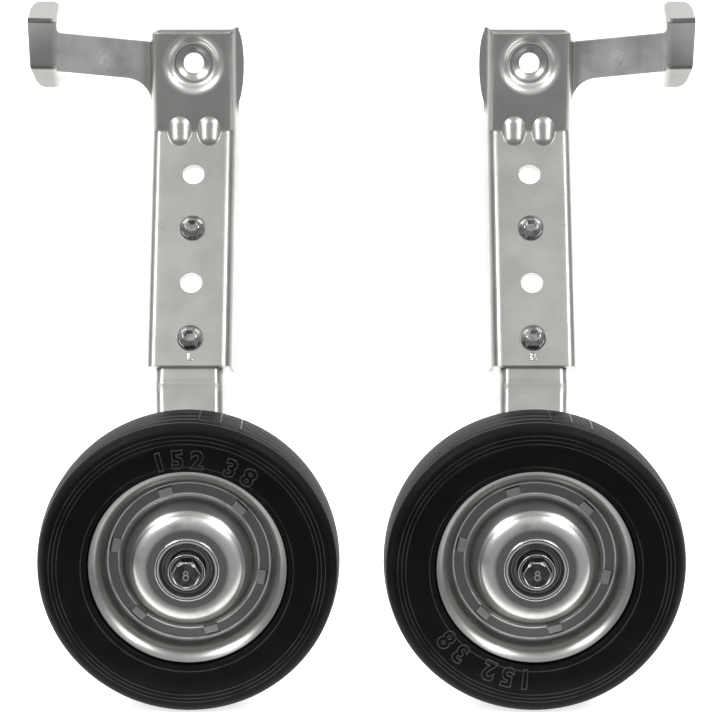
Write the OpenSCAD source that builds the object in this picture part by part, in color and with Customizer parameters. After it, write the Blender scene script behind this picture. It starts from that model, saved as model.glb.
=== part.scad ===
// Pair of adjustable training wheels: left and right units as they are laid out for sale.
// X is across the pair, +Y points to the bicycle, Z is up.
// The origin is the left axle hole, on the face that bears on the frame end.

/* [Pair] */
// Distance between the two axle holes
pair_spacing = 174; // [165:1:400]

/* [Sheet steel] */
// Thickness of the bracket and leg
sheet = 2.5; // [2:0.1:3]
// Outer radius of the bends along the channels
channel_bend_r = 4; // [3.6:0.1:5]
// Outward lean of the channel flanges
splay = 10; // [4:1:12]

/* [Bracket] */
// Width over the web
bracket_w = 43; // [42:0.5:48]
// Depth of the flanges from the front face
bracket_depth = 12.5; // [10:0.5:15]
// Height of the web above the axle hole
top_height = 17.5; // [16:0.5:22]
// Rounding of the top edge
top_edge_r = 2.2; // [1:0.1:2.4]
// Drop from the axle hole to the crease
crease_drop = 35.5; // [33:0.5:42]
// Outward angle of the lower section
flare = 32; // [24:1:36]
// Radius inside the crease
crease_r = 3; // [2:0.5:5]
// Length of the lower section
lower_length = 129; // [127:1:134]
// Rounding of the flanges' lower corners
foot_r = 4; // [2:0.5:6]
// Depth of the ear on the inner flange
ear_depth = 24; // [20:0.5:26]
// Height of the ear
ear_height = 40; // [36:1:44]

/* [Axle hole] */
// Diameter for the bicycle's axle
axle_hole_d = 10.5; // [9.5:0.1:12]
// Depth of the dish around the hole
dish_depth = 1.8; // [1.4:0.1:2.2]
// Radius of the dish on the front
dish_r = 17.4; // [15:0.1:17.4]
// Radius of the seat in the dish
seat_r = 10.3; // [9.5:0.1:11]
// Depth of the step round the seat
seat_step = 0.4; // [0.2:0.1:0.6]
// Depth of the countersink
sink_depth = 0.8; // [0.4:0.1:1]

/* [Stiffening ribs] */
// Distance from the middle to each rib
rib_x = 7.6; // [7:0.1:9]
// Radius of the rib's round section
rib_r = 8; // [7:0.1:9]
// Height of the rib over the crease
rib_height = 3.1; // [2.5:0.1:3.5]
// Half length of the rib's straight part
rib_half = 3.8; // [2:0.1:5]

/* [Adjusting holes] */
// Diameter
hole_d = 11; // [9:0.1:11.6]
// Distance from hole to hole
hole_pitch = 30; // [28:0.5:31]
// Distance from the crease to the first hole
first_hole = 24; // [22:0.5:27]
// Number of holes in the bracket
hole_count = 4; // [4:1:4]

/* [Hook arm] */
// Depth of the arm behind the web's front face
arm_depth = 12.5; // [11:0.5:15]
// Inner radius of the bend into the arm
arm_bend_r = 2; // [1:0.5:3]
// Reach from the axle hole to the clip
arm_reach = 69.8; // [60:0.1:80]
// Height of the arm
arm_height = 20.2; // [16:0.2:22]
// Height of the arm's top edge at the bracket
arm_top = 10; // [8:0.5:12]
// Rise of the arm towards the clip
arm_rise = 5.5; // [3:0.5:8]
// Fillet under the arm
arm_fillet = 14; // [8:1:15]

/* [Clip] */
// Width of the strip
clip_w = 15.4; // [13:0.2:18]
// Distance between the two creases
clip_gap = 25; // [22:0.5:28]
// Height of the clip's middle
clip_mid = 9.2; // [8:0.2:10]
// Length of the upper ear
upper_ear = 11; // [9:0.5:14]
// Length of the lower ear
lower_ear = 15.5; // [9:0.5:17]
// Turn of the ears towards the bicycle
ear_turn = 45; // [35:1:60]
// Turn of the clip towards the bicycle
clip_turn = 12; // [6:1:20]
// Tilt of the strip
clip_tilt = 2; // [0:0.5:6]
// Radius of the ears' corners
clip_corner = 4.5; // [2:0.5:6]

/* [Leg] */
// Width over the web
leg_w = 34; // [32:0.5:35]
// Depth of the flanges
leg_depth = 11; // [9:0.5:12]
// Distance from the crease to the leg's top end
leg_start = 13; // [10:0.5:15]
// Radius of the bend back to upright
leg_bend_r = 13; // [13:0.5:20]
// Length below the wheel's axle
leg_tail = 16; // [13:0.5:20]
// Radius of the tail's corners
leg_corner = 7; // [4:0.5:9]

/* [Wheel] */
// Distance from the frame end to the wheel's middle plane
wheel_out = 96; // [94:0.5:100]
// Drop from the axle hole to the wheel's centre
wheel_drop = 240; // [238:1:260]
// Tyre diameter
tyre_d = 152; // [148:1:156]
// Tyre width
tyre_w = 38; // [36:0.5:40]
// Radius of the tyre's shoulders
shoulder_r = 6.5; // [4:0.5:8]
// Radius of the tread's crown
crown_r = 90; // [60:1:140]
// Radius of the sidewall's bulge
bulge_r = 30; // [26:1:40]
// Space between the tyre's side and the leg
tyre_gap = 1.5; // [1:0.1:3]
// Depth of the tread grooves
groove_depth = 0.9; // [0.4:0.1:1.5]

/* [Discs] */
// Rim diameter
rim_d = 100; // [98:0.5:104]
// Rim width over the lips
rim_w = 27; // [26:0.5:28]
// Thickness of the disc sheet
disc_sheet = 1; // [0.8:0.1:1.2]
// Height of the hub face over the rim's lips
hub_rise = 3; // [1:0.1:4]
// Radius where the hub face bends
dome_r = 21.2; // [19:0.1:22]
// Slope of the dome
dome_angle = 68; // [66:1:72]
// Bend radius at the dome's top
dome_bend_r = 8; // [6:0.5:9]
// Bend radius at the dome's foot
dome_foot_r = 4; // [2:0.5:5]
// Bend radius at the rim wall's foot
floor_bend_r = 2; // [1.5:0.1:2.5]
// Slope of the rim wall
wall_angle = 74; // [70:1:77]
// Bend between rim wall and lip
lip_bend = 50; // [40:1:55]
// Bend radius of the lip
lip_bend_r = 9; // [6:0.5:10]
// Length of the lip's straight edge
lip_length = 0.6; // [0.4:0.1:1]
// Number of folded tabs
tab_count = 6; // [4:1:8]
// Width of a tab
tab_w = 7; // [5:0.5:8]
// Length of a tab on the floor
tab_l = 3.5; // [2.5:0.1:3.6]
// Inner radius of a tab's fold
tab_fold_r = 0.4; // [0.2:0.1:0.5]
// Angle of the first tab
tab_angle = 47; // [0:1:59]

/* [Hub] */
// Inner diameter of the hub tube
hub_bore_d = 26.8; // [25:0.1:27]
// Wall of the hub tube
hub_wall = 1.2; // [1:0.1:1.5]
// Outer radius of the rolled ends
roll_r = 16.2; // [15.8:0.1:17]
// Depth of the bushes in the hub tube
bush_recess = 2.6; // [1.5:0.1:4]
// Length of a bush
bush_length = 9; // [6:0.5:12]
// Diameter of the bush's boss
boss_d = 17; // [15:0.5:18]
// End play of the wheel
end_play = 0.4; // [0.3:0.1:0.6]
// Outer diameter of the axle sleeve
sleeve_d = 12; // [11:0.1:13]

/* [Fasteners] */
// Thread diameter of the bolts
bolt_d = 8; // [7.5:0.1:8]
// Width across the flats of hex heads and nuts
hex_af = 13; // [12.5:0.1:13]
// Height of the hex head
hex_h = 5.3; // [4.5:0.1:6]
// Height of the lock nuts
nut_h = 8; // [7:0.5:9]
// Diameter of the button heads
button_d = 13.6; // [13:0.1:14.5]
// Height of the button heads
button_h = 4.2; // [3.6:0.1:4.6]
// Width across the flats of the button heads' socket
socket_af = 5; // [4:0.5:5.5]
// Diameter of the washers
washer_d = 16; // [15:0.5:17]
// Diameter of the washer under the axle bolt's head
axle_washer_d = 18.4; // [16.5:0.1:19]
// Thickness of the washers
washer_h = 1.6; // [1.2:0.1:2]

/* [Clearances] */
// Radial play of the wheel on its sleeve
running_gap = 0.06; // [0.04:0.01:0.08]
// Radial play of a bolt in its washer, sleeve or hole
bolt_gap = 0.2; // [0.1:0.05:0.3]
// Radial play in a thread or a pressed fit
close_gap = 0.03; // [0.01:0.01:0.05]
// Play of tyre and tabs in the discs
seat_gap = 0.15; // [0.1:0.05:0.2]

/* [Hidden] */
$fn = 96;

eps = 0.01;
lap = 0.02;
bend_lap = 0.2;
arc_step = 8;
far = 200;
steel = [0.72, 0.72, 0.70];
bright = [0.82, 0.83, 0.85];
rubber = [0.10, 0.10, 0.10];
nylon = [0.16, 0.16, 0.17];

// Channel flange directions and the crease
web_front = -(sheet + dish_depth);
flange_turn = 90 - splay;
crease_run = crease_r * tan(flare / 2);
bend_top = crease_drop - crease_run;
lower_run = lower_length - crease_run;

// Wheel stack, measured from the wheel's middle plane towards the viewer
leg_face = -(tyre_w / 2 + tyre_gap);
hub_face = rim_w / 2 + hub_rise;
roll_top = hub_face + hub_wall;
bush_face = roll_top - bush_recess;
sleeve_end = roll_top + 1.7;
head_seat = sleeve_end + washer_h;
bolt_end_spare = 2;

// Length of the leg's sloping part, so that it turns upright in the leg's plane
leg_run = (web_front - crease_r + (crease_r + sheet + leg_bend_r) * cos(flare) - leg_bend_r
  + wheel_out + leg_face) / sin(flare);
leg_bend_z = -bend_top - (crease_r + sheet + leg_bend_r) * sin(flare) - leg_run * cos(flare);
leg_bend_y = -wheel_out - leg_face + leg_bend_r;

// A sheet path is a list of [straight length, turn, inner radius].
// The sheet lies on the left of the path, and a positive turn is to the left.
// Its outline walks out along the path's own side and back along the sheet's other side.
function turned(v, a) = [v[0] * cos(a) - v[1] * sin(a), v[0] * sin(a) + v[1] * cos(a)];

function arc_steps(a) = max(2, ceil(abs(a) / arc_step));

function turn_centre(step, t) = [step[0], step[1] > 0 ? t + step[2] : -step[2]];

// Points of one side of the sheet, at height h over the path
function path_side(steps, t, h, n, i = 0, p = [0, 0], a = 0) =
  i == n ? [p + turned([0, h], a)]
  : let (step = steps[i], c = turn_centre(step, t), parts = arc_steps(step[1]))
    concat(
      [p + turned([0, h], a)],
      step[1] == 0 ? []
      : [for (k = [0 : parts - 1]) p + turned(c + turned([0, h - c[1]], step[1] * k / parts), a)],
      path_side(steps, t, h, n, i + 1, p + turned(c + turned([0, -c[1]], step[1]), a), a + step[1])
    );

function path_end(steps, t, n, i = 0, p = [0, 0], a = 0) =
  i == n ? [p[0], p[1], a]
  : let (step = steps[i], c = turn_centre(step, t))
    path_end(steps, t, n, i + 1, p + turned(c + turned([0, -c[1]], step[1]), a), a + step[1]);

function backwards(list) = [for (i = [len(list) - 1 : -1 : 0]) list[i]];

function sheet_outline(steps, t) =
  concat(path_side(steps, t, 0, len(steps)), backwards(path_side(steps, t, t, len(steps))));

module sheet_path(steps, t) {
  polygon(sheet_outline(steps, t));
}

// Length of a splayed flange whose rear edge lies at a given depth
function flange_length(depth) = (depth - channel_bend_r * (1 - cos(flange_turn))) / sin(flange_turn);

function half_channel(w, depth) = [
  [w / 2 - channel_bend_r, flange_turn, channel_bend_r - sheet],
  [flange_length(depth), 0, 0]
];

function mirrored(list) = [for (p = backwards(list)) [-p[0], p[1]]];

function tail(list) = [for (i = [1 : len(list) - 1]) list[i]];

// Half of a channel's section along one face: h is 0 outside and the sheet's thickness inside
function channel_half(w, depth, h, grow) = tail(path_side(half_channel(w, depth + grow), sheet, h, 2));

// Section of a channel, from one flange to the other and back along the inside.
// A bend is grown by the lap, so that the straight parts end inside it.
module channel(w, left_depth, right_depth, grow = 0) {
  polygon(concat(
    mirrored(channel_half(w, left_depth, -grow, grow)),
    channel_half(w, right_depth, -grow, grow),
    backwards(channel_half(w, right_depth, sheet + grow, grow)),
    mirrored(backwards(channel_half(w, left_depth, sheet + grow, grow)))
  ));
}

// Depth of a flange's inner rear corner
function rear(depth) = depth + sheet * cos(flange_turn);

module left() {
  children();
}

module right() {
  translate([pair_spacing, 0, 0]) mirror([1, 0, 0]) children();
}

// The wheels are the same part on both sides
module right_wheel() {
  translate([pair_spacing, 0, 0]) children();
}

// Frame of the lower section: y is depth behind its front face, z is along it from the bend
module at_flare() {
  translate([0, web_front - crease_r, -bend_top]) rotate([-flare, 0, 0]) translate([0, crease_r, 0])
    children();
}

module at_hole(i) {
  at_flare() translate([0, 0, crease_run - first_hole - i * hole_pitch]) rotate([-90, 0, 0]) children();
}

// Frame of the wheel: z is along its axle towards the viewer
module at_wheel() {
  translate([0, -wheel_out, -wheel_drop]) rotate([90, 0, 0]) children();
}

module rounded_box_2d(size, r) {
  translate([r, 0]) square([size[0] - 2 * r, size[1]]);
  translate([0, r]) square([size[0], size[1] - 2 * r]);
  for (x = [r, size[0] - r], y = [r, size[1] - r]) translate([x, y]) circle(r);
}

// Bracket

module bracket_channel() {
  difference() {
    translate([0, web_front, -bend_top - bend_lap]) linear_extrude(bend_top + bend_lap + top_height)
      channel(bracket_w, bracket_depth, ear_depth);
    ear_trim();
  }
  translate([0, web_front - crease_r, -bend_top]) rotate([-90, 0, 90]) rotate_extrude(angle = flare)
    translate([crease_r, 0]) rotate(-90) channel(bracket_w, bracket_depth, bracket_depth, lap);
  at_flare() translate([0, 0, -lower_run]) linear_extrude(lower_run + bend_lap)
    channel(bracket_w, bracket_depth, bracket_depth);
}

// The inner flange is deeper round the axle, as an ear with a rounded outline
module ear_trim() {
  outline_r = ear_height / 2;
  reach = ear_depth - bracket_depth + 4;
  bulge = (outline_r * outline_r + reach * reach) / (2 * reach);
  translate([bracket_w / 4, 0, 0]) rotate([90, 0, 90]) linear_extrude(far) difference() {
    translate([web_front + bracket_depth, -far]) square([far, 2 * far]);
    translate([web_front + ear_depth - bulge, top_height - outline_r]) circle(bulge, $fn = 160);
  }
}

module top_cuts() {
  // rounded front edge of the top
  translate([0, web_front, top_height - top_edge_r]) rotate([0, 90, 0]) rotate([0, 0, 90])
    linear_extrude(bracket_w + 2 * bracket_depth, center = true) difference() {
      translate([-1, 0]) square([top_edge_r + 1, top_edge_r + 1]);
      translate([top_edge_r, 0]) circle(top_edge_r);
    }
  // sloping corner over the arm
  translate([0, far / 2, 0]) rotate([90, 0, 0]) linear_extrude(far) polygon([
    [-bracket_w / 2 + 4, top_height], [-bracket_w / 2 - 5, top_height - 5],
    [-bracket_w / 2 - 5, top_height + 5], [-bracket_w / 2 + 4, top_height + 5]
  ]);
}

// The dish's hollow falls from the web to the seat in two equal arcs
dish_slope = 2 * atan(dish_depth / (dish_r - seat_r));
dish_arc_r = (dish_r - seat_r) / (2 * sin(dish_slope));

module dish() {
  difference() {
    translate([0, -dish_depth, 0]) rotate([-90, 0, 0])
      cylinder(h = dish_depth, r1 = dish_r + 0.4, r2 = seat_r + 0.8);
    translate([-far / 2, -far / 2, top_height - 0.4]) cube(far);
  }
}

module dish_hollow() {
  steps = 7;
  rotate_extrude($fn = 160) polygon(concat(
    [[0, -1], [dish_r + 3, -1], [dish_r + 3, -lap]],
    [for (a = [0 : dish_slope / steps : dish_slope]) [dish_r, -lap] + dish_arc_r * [-sin(a), 1 - cos(a)]],
    [for (a = [dish_slope : -dish_slope / steps : 0]) [seat_r, dish_depth] + dish_arc_r * [sin(a), cos(a) - 1]],
    [[0, dish_depth]]
  ));
}

module dish_cut() {
  wall = sheet - seat_step - sink_depth;
  translate([0, web_front, 0]) rotate([-90, 0, 0]) dish_hollow();
  translate([0, -sheet - eps, 0]) rotate([-90, 0, 0]) cylinder(h = seat_step + eps, r = seat_r - 0.5);
  translate([0, -sheet + seat_step - eps, 0]) rotate([-90, 0, 0])
    cylinder(h = sink_depth + eps, r1 = seat_r - 1.2, r2 = axle_hole_d / 2);
  translate([0, -wall - eps, 0]) rotate([-90, 0, 0]) cylinder(h = wall + 1, d = axle_hole_d);
}

module rib(r) {
  translate([0, web_front, -crease_drop]) rotate([-flare / 2, 0, 0]) translate([0, rib_r - rib_height, 0]) {
    cylinder(h = 2 * rib_half, r = r, center = true);
    for (end = [-1, 1]) translate([0, 0, end * rib_half]) sphere(r);
  }
}

// Takes off a rear lower corner outside its rounding, seen from the side
module corner_cut(r, w) {
  rotate([0, -90, 0]) linear_extrude(w, center = true) difference() {
    translate([-1, -r]) square([r + 1, r + 1]);
    translate([r - lap, lap - r]) circle(r);
  }
}

// Keeps what stands out in front of the middle of the web's sheet
module in_front_of_web() {
  intersection() {
    children();
    translate([-far / 2, web_front + sheet / 2 - far, -far]) cube([far, far, 2 * far]);
    at_flare() translate([-far / 2, sheet / 2 - far, -far]) cube([far, far, 2 * far]);
  }
}

arm_steps = [
  [bracket_w / 2 - channel_bend_r, flange_turn, channel_bend_r - sheet],
  [(arm_depth - (channel_bend_r + arm_bend_r) * (1 - cos(flange_turn))) / sin(flange_turn),
    -flange_turn, arm_bend_r]
];
arm_root = path_end(arm_steps, sheet, 2);
arm_path = [arm_steps[0], arm_steps[1], [arm_reach - arm_root[0], clip_turn, 3], [1.5, 0, 0]];
arm_end = path_end(arm_path, sheet, 3);

// Outline of the arm in the front view, x outwards from the axle hole
module arm_outline() {
  rise = tan(arm_rise);
  root = bracket_w / 2 - channel_bend_r;
  flange_x = arm_root[0] - arm_bend_r;
  low = arm_top - arm_height;
  tip = arm_end[0] + 1;
  tip_r = 2.5;
  tip_z = arm_top + (tip - tip_r - flange_x) * rise + tip_r;
  fillet_at = [flange_x + arm_fillet, low + arm_fillet * rise - arm_fillet / cos(arm_rise)];
  polygon(concat(
    [[root, arm_top + 2], [flange_x, arm_top]],
    [for (k = [0 : 6]) [tip - tip_r, tip_z] + tip_r * [sin(k * 15), -cos(k * 15)]],
    [[tip + 5, tip_z], [tip + 5, low + (tip + 5 - flange_x) * rise]],
    [for (k = [0 : 9]) fillet_at + arm_fillet * turned([0, 1], arm_rise + k * (90 - arm_rise) / 9)],
    [[root, fillet_at[1]]]
  ));
}

function clip_half(ear_length) = [[clip_gap / 2 - 2, ear_turn, 1.5], [ear_length, 0, 0]];

// Section of the clip, grown by the lap so that the arm ends inside it: x is up
module clip_section() {
  up = clip_half(upper_ear);
  down = clip_half(lower_ear);
  polygon(concat(
    mirrored(tail(path_side(down, sheet, -lap, 2))), tail(path_side(up, sheet, -lap, 2)),
    backwards(tail(path_side(up, sheet, sheet + lap, 2))),
    mirrored(backwards(tail(path_side(down, sheet, sheet + lap, 2))))
  ));
}

module clip() {
  upper_tip = path_end(clip_half(upper_ear), sheet, 2)[0];
  lower_tip = path_end(clip_half(lower_ear), sheet, 2)[0];
  translate([arm_end[0], web_front + arm_end[1], clip_mid])
    rotate([0, 0, clip_turn]) rotate([0, clip_tilt, 0]) intersection() {
      translate([clip_w + 1, 0, 0]) rotate([0, -90, 0]) linear_extrude(clip_w) clip_section();
      translate([1, far / 2, 0]) rotate([90, 0, 0]) linear_extrude(far) translate([0, -lower_tip])
        rounded_box_2d([clip_w, lower_tip + upper_tip], clip_corner);
    }
}

module hook() {
  mirror([1, 0, 0]) {
    intersection() {
      translate([0, web_front, -far / 2]) linear_extrude(far) sheet_path(arm_path, sheet);
      translate([0, far / 2, 0]) rotate([90, 0, 0]) linear_extrude(far) arm_outline();
    }
    clip();
  }
}

module bracket() {
  color(steel) difference() {
    union() {
      difference() {
        union() {
          bracket_channel();
          hook();
        }
        top_cuts();
      }
      dish();
      in_front_of_web() for (side = [-1, 1]) translate([side * rib_x, 0, 0]) rib(rib_r);
    }
    dish_cut();
    for (side = [-1, 1]) translate([side * rib_x, 0, 0]) rib(rib_r - sheet);
    for (i = [0 : hole_count - 1]) at_hole(i) translate([0, 0, -1]) cylinder(h = sheet + 2, d = hole_d);
    at_flare() translate([0, rear(bracket_depth), -lower_run]) corner_cut(foot_r, far);
  }
}

// Leg

module leg() {
  color(steel) difference() {
    union() {
      at_flare() translate([0, sheet, -leg_run - bend_lap])
        linear_extrude(leg_run + bend_lap + crease_run - leg_start) channel(leg_w, leg_depth, leg_depth);
      at_flare() translate([0, sheet + leg_bend_r, -leg_run]) rotate([-90, 0, -90])
        rotate_extrude(angle = flare) translate([leg_bend_r, 0]) rotate(90)
        channel(leg_w, leg_depth, leg_depth, lap);
      translate([0, leg_bend_y - leg_bend_r, -wheel_drop - leg_tail])
        linear_extrude(wheel_drop + leg_tail + leg_bend_z + bend_lap) channel(leg_w, leg_depth, leg_depth);
    }
    for (i = [0 : hole_count - 1]) at_hole(i) translate([0, 0, sheet - 1])
      cylinder(h = sheet + 2, d = hole_d);
    at_wheel() translate([0, 0, leg_face - sheet - 1]) cylinder(h = sheet + 2, d = bolt_d + 2 * bolt_gap);
    translate([0, leg_bend_y - leg_bend_r + rear(leg_depth), -wheel_drop - leg_tail])
      corner_cut(leg_corner, far);
  }
}

// Fasteners, with z along the bolt towards its head and z = 0 under the head

module hex(af, h) {
  cylinder(h = h, r = af / 2 / cos(30), $fn = 6);
}

module button_bolt(grip) {
  rim = 0.6;
  flat_r = button_d / 4;
  drop = (button_d * button_d / 4 + rim * rim - flat_r * flat_r - button_h * button_h)
    / (2 * (button_h - rim));
  dome_radius = sqrt(button_d * button_d / 4 + (rim + drop) * (rim + drop));
  length = grip + washer_h + nut_h + bolt_end_spare - 1;
  color(bright) {
    difference() {
      intersection() {
        cylinder(h = button_h, d = button_d);
        translate([0, 0, -drop]) sphere(dome_radius);
      }
      translate([0, 0, button_h - 2.6]) hex(socket_af, 3);
    }
    translate([0, 0, -length + 1]) cylinder(h = length - 1 + eps, d = bolt_d);
    translate([0, 0, -length]) cylinder(h = 1, d1 = bolt_d - 2, d2 = bolt_d);
  }
}

module washer(d) {
  color(bright) difference() {
    cylinder(h = washer_h, d = d);
    translate([0, 0, -1]) cylinder(h = washer_h + 2, d = bolt_d + 2 * bolt_gap);
  }
}

// Lock nut: z = 0 is its seat and it stands towards -z
module lock_nut() {
  collar_r = hex_af / 2 - 1;
  hex_part = nut_h - 2.2;
  corner_r = hex_af / 2 / cos(30);
  color(bright) difference() {
    union() {
      translate([0, 0, -hex_part]) intersection() {
        hex(hex_af, hex_part);
        translate([0, 0, 0]) cylinder(h = hex_part, r1 = corner_r - 1, r2 = corner_r + hex_part - 1);
      }
      translate([0, 0, -nut_h + 0.8]) cylinder(h = nut_h - hex_part, r = collar_r);
      translate([0, 0, -nut_h]) cylinder(h = 0.8, r1 = collar_r - 0.8, r2 = collar_r);
    }
    translate([0, 0, -nut_h - 1]) cylinder(h = nut_h + 2, d = bolt_d + 2 * close_gap);
  }
}

module leg_bolt(i) {
  at_hole(i) mirror([0, 0, 1]) button_bolt(2 * sheet);
}

module leg_washer(i) {
  at_hole(i) translate([0, 0, 2 * sheet]) washer(washer_d);
}

module leg_nut(i) {
  at_hole(i) translate([0, 0, 2 * sheet + washer_h]) mirror([0, 0, 1]) lock_nut();
}

module axle_bolt() {
  corner_r = hex_af / 2 / cos(30);
  nut_seat = leg_face - sheet - washer_h;
  tip = nut_seat - nut_h - bolt_end_spare;
  color(bright) at_wheel() {
    intersection() {
      translate([0, 0, head_seat]) hex(hex_af, hex_h);
      translate([0, 0, head_seat]) cylinder(h = hex_h, r1 = corner_r + hex_h - 1, r2 = corner_r - 1);
    }
    translate([0, 0, tip + 1]) cylinder(h = head_seat - tip - 1 + eps, d = bolt_d);
    translate([0, 0, tip]) cylinder(h = 1, d1 = bolt_d - 2, d2 = bolt_d);
  }
}

module outer_axle_washer() {
  at_wheel() translate([0, 0, sleeve_end]) washer(axle_washer_d);
}

module axle_sleeve() {
  color(bright) at_wheel() difference() {
    translate([0, 0, leg_face]) cylinder(h = sleeve_end - leg_face, d = sleeve_d);
    translate([0, 0, leg_face - 1]) cylinder(h = sleeve_end - leg_face + 2, d = bolt_d + 2 * bolt_gap);
  }
}

module inner_axle_washer() {
  at_wheel() translate([0, 0, leg_face - sheet - washer_h]) washer(washer_d);
}

module axle_nut() {
  at_wheel() translate([0, 0, leg_face - sheet - washer_h]) lock_nut();
}

// Wheel discs

hub_hole_r = hub_bore_d / 2 + hub_wall + close_gap;
dome_drop = hub_face - disc_sheet;
dome_bends = dome_bend_r + dome_foot_r + disc_sheet;
dome_slope = (dome_drop - dome_bends * (1 - cos(dome_angle))) / sin(dome_angle);
floor_inner_r = dome_r + dome_bends * sin(dome_angle) + dome_slope * cos(dome_angle);
lip_angle = wall_angle - lip_bend;
wall_start = floor_bend_r + disc_sheet;
wall_slope = (rim_w / 2 - disc_sheet - wall_start * (1 - cos(wall_angle))
  - lip_bend_r * (cos(lip_angle) - cos(wall_angle)) - lip_length * sin(lip_angle)) / sin(wall_angle);
wall_run = wall_start * sin(wall_angle) + wall_slope * cos(wall_angle)
  + lip_bend_r * (sin(wall_angle) - sin(lip_angle)) + lip_length * cos(lip_angle);
floor_outer_r = rim_d / 2 - wall_run;

// Section of a disc from the hub outwards, from the side that faces the other disc
disc_start = [hub_hole_r, dome_drop];
disc_path = [
  [dome_r - hub_hole_r, -dome_angle, dome_bend_r],
  [dome_slope, dome_angle, dome_foot_r],
  [floor_outer_r - floor_inner_r, wall_angle, floor_bend_r],
  [wall_slope, -lip_bend, lip_bend_r],
  [lip_length, 0, 0]
];

module disc() {
  rotate_extrude() translate(disc_start) sheet_path(disc_path, disc_sheet);
}

tab_r = floor_outer_r - disc_sheet - 0.3;

module at_tabs() {
  for (i = [0 : tab_count - 1]) rotate(tab_angle + i * 360 / tab_count) children();
}

module outer_disc() {
  color(steel) at_wheel() difference() {
    disc();
    at_tabs() translate([tab_r - seat_gap, -tab_w / 2 - seat_gap, -1])
      cube([disc_sheet + 2 * seat_gap, tab_w + 2 * seat_gap, disc_sheet + 2]);
  }
}

// The tabs are lanced from the inner disc, pass through the outer one and fold down on its floor
module inner_disc() {
  color(steel) at_wheel() {
    difference() {
      mirror([0, 0, 1]) disc();
      at_tabs() translate([tab_r - tab_l, -tab_w / 2 - seat_gap, -disc_sheet - 1])
        cube([tab_l, tab_w + 2 * seat_gap, disc_sheet + 2]);
    }
    at_tabs() translate([tab_r + disc_sheet, 0, -disc_sheet / 2]) rotate([90, 0, 0])
      linear_extrude(tab_w, center = true) rotate(90)
      sheet_path([[1.5 * disc_sheet - tab_fold_r, 90, tab_fold_r], [tab_l - tab_fold_r, 0, 0]], disc_sheet);
  }
}

module hub_tube_end() {
  r = hub_bore_d / 2;
  edge = hub_wall / 2;
  translate([r, 0]) square([hub_wall, hub_face]);
  translate([r + edge, hub_face]) square([roll_r - r - 2 * edge, hub_wall]);
  translate([r + edge, hub_face + edge]) circle(edge, $fn = 48);
  translate([r, hub_face - eps]) square([edge, edge + eps]);
  translate([roll_r - edge, hub_face + edge]) circle(edge, $fn = 48);
}

module hub_tube() {
  color(bright) at_wheel() rotate_extrude() {
    hub_tube_end();
    mirror([0, 1]) hub_tube_end();
  }
}

// A bush's boss runs against the washer or the leg with the end play
module bush(face) {
  bore_r = sleeve_d / 2 + running_gap;
  color(nylon) rotate_extrude() {
    translate([bore_r, bush_face - bush_length]) square([hub_bore_d / 2 - close_gap - bore_r, bush_length]);
    translate([bore_r, bush_face - 1]) square([boss_d / 2 - bore_r, face - bush_face + 1]);
  }
}

module outer_bush() {
  at_wheel() bush(sleeve_end - end_play);
}

module inner_bush() {
  at_wheel() mirror([0, 0, 1]) bush(-leg_face - end_play);
}

// Tyre

// The shoulder's arc runs smoothly from the sidewall's bulge into the tread's crown
bulge_at = [(tyre_d + rim_d) / 4 - 1, tyre_w / 2 - bulge_r];
crown_at = [tyre_d / 2 - crown_r, 0];
apart = norm(bulge_at - crown_at);
along = (pow(crown_r - shoulder_r, 2) - pow(bulge_r - shoulder_r, 2) + apart * apart) / (2 * apart);
beside = sqrt(pow(crown_r - shoulder_r, 2) - along * along);
ahead = (bulge_at - crown_at) / apart;
shoulder_at = crown_at + along * ahead + beside * [-ahead[1], ahead[0]];
bulge_end = atan2(shoulder_at[1] - bulge_at[1], shoulder_at[0] - bulge_at[0]);
crown_end = atan2(shoulder_at[1] - crown_at[1], shoulder_at[0] - crown_at[0]);

// Height of the sidewall over the middle plane at a given radius
function side_height(r) = bulge_at[1] + sqrt(bulge_r * bulge_r - pow(r - bulge_at[0], 2));

function arc(at, r, from, to, steps) =
  [for (k = [0 : steps]) at + r * [cos(from + (to - from) * k / steps), sin(from + (to - from) * k / steps)]];

module tyre_outside() {
  half = concat(
    arc(bulge_at, bulge_r, 140, bulge_end, 22),
    tail(arc(shoulder_at, shoulder_r, bulge_end, crown_end, 16)),
    tail(arc(crown_at, crown_r, crown_end, 0, 4))
  );
  polygon(concat(half, [for (k = [len(half) - 2 : -1 : 0]) [half[k][0], -half[k][1]]]));
}

module tyre_section() {
  floor_end = floor_outer_r - hub_hole_r;
  seat = [for (p = path_side(disc_path, disc_sheet, -seat_gap, 5)) if (p[0] > floor_end) disc_start + p];
  heel_r = floor_outer_r + (wall_start + seat_gap) * sin(wall_angle);
  lip = seat[len(seat) - 1];
  difference() {
    tyre_outside();
    for (side = [0, 1]) mirror([0, side])
      polygon(concat([[0, far], [0, 0]], seat, [lip + [0.6, 1.4], [rim_d / 2 + 0.4, far]]));
    translate([0, -far]) square([heel_r, 2 * far]);
    grooves();
  }
}

// Fine grooves round the tread, and rings on the sidewalls
module grooves() {
  r = tyre_d / 2;
  for (z = [-9, -4, 4, 9]) translate([r - groove_depth, z - 0.5]) square([3, 1]);
  for (side = [-1, 1], ring_r = [rim_d / 2 + 2.6, r - 11.5, r - 9.5, r - 7.5])
    translate([ring_r, side * (side_height(ring_r) + 0.1)]) circle(0.45, $fn = 24);
}

module tyre() {
  color(rubber) at_wheel() rotate_extrude($fn = 128) tyre_section();
}

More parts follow.
